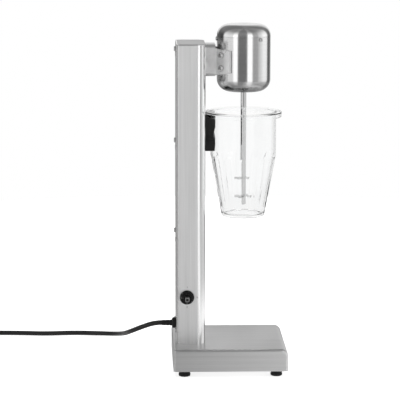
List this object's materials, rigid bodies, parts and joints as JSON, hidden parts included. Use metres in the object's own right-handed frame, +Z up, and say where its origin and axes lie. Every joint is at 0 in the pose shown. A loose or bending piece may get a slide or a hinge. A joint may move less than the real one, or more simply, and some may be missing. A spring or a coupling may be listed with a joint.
{
  "type": "milkshake mixer",
  "caption": "Bar milkshake mixer: weighted base, steel column, motor head with a beater spindle, hanging clear cup and toggle switch.",
  "frame": {"origin": "on the floor under the middle of the base", "axes": "+Z up, +X to the front where the cup hangs, +Y to the side away from the switch"},
  "size_m": [0.548, 0.2764, 0.5],
  "materials": {
    "brushed_panel": "brushed stainless sheet, satin",
    "motor_can": "turned and polished stainless",
    "bracket_alloy": "satin",
    "screw_steel": "bright zinc",
    "spindle_chrome": "polished",
    "clear_plastic": "clear polycarbonate",
    "black_plastic": "moulded, matte",
    "black_rubber": "moulded rubber",
    "cord_jacket": "PVC jacket",
    "cast_iron": "raw casting",
    "lamination": "lacquered steel laminations",
    "copper": "enamelled copper",
    "brass": "plain",
    "carbon": "graphite",
    "inner_steel": "plated",
    "inner_plastic": "moulded"
  },
  "bodies": {
    "stand": {"base_cover": "brushed_panel", "base_plate": "inner_steel", "ballast_block": "cast_iron", "rubber_feet": "black_rubber", "foot_screws": "screw_steel", "foot_nuts": "screw_steel", "column_shell": "brushed_panel", "column_cap": "brushed_panel", "column_foot": "inner_steel", "column_bolts": "screw_steel", "column_nuts": "screw_steel", "rear_cover": "brushed_panel", "rear_cover_screws": "screw_steel", "head_bracket": "bracket_alloy", "bracket_bolts": "screw_steel", "motor_housing": "motor_can", "motor_cap": "motor_can", "clamp_screws": "screw_steel", "cap_screws": "screw_steel", "stator_core": "lamination", "field_coils": "copper", "motor_tie_bolts": "screw_steel", "spacer_sleeves": "inner_steel", "bearing_bridge": "bracket_alloy", "lower_bearing": "inner_steel", "upper_bearing": "inner_steel", "shaft_seal": "black_rubber", "brush_holders": "brass", "carbon_brushes": "carbon", "cup_holder": "black_plastic", "cup_holder_screws": "screw_steel", "switch_body": "black_plastic", "switch_nut": "screw_steel", "switch_boot": "black_rubber", "terminal_block": "inner_plastic", "suppressor_capacitor": "inner_plastic", "motor_leads": "cord_jacket", "lead_grommet": "black_rubber", "cord_gland": "black_plastic", "power_cord": "cord_jacket", "power_cord_coil": "cord_jacket", "power_cord_tail": "cord_jacket", "plug_body": "black_plastic", "plug_pins": "brass"},
    "spindle": {"motor_shaft": "inner_steel", "armature_core": "lamination", "armature_winding": "copper", "commutator": "copper", "cooling_fan": "inner_plastic", "agitator_rod": "spindle_chrome", "upper_beater_disc": "spindle_chrome", "lower_beater_disc": "spindle_chrome", "beater_nut": "spindle_chrome"},
    "hanging_cup": {"cup": "clear_plastic"},
    "toggle": {"switch_lever": "black_plastic"}
  },
  "joints": [
    {"name": "spindle_spin", "type": "hinge", "parent": "stand", "child": "spindle", "pos_m": [0.02, 0, 0.35], "axis": [0, 0, 1], "continuous": true},
    {"name": "cup_lift", "type": "slide", "parent": "stand", "child": "hanging_cup", "axis": [0, 0, 1], "range_m": [0, 0.01]},
    {"name": "switch_toggle", "type": "hinge", "parent": "stand", "child": "toggle", "pos_m": [-0.062, -0.043, 0.1107], "axis": [1, 0, 0], "range_deg": [-12, 12]}
  ]
}
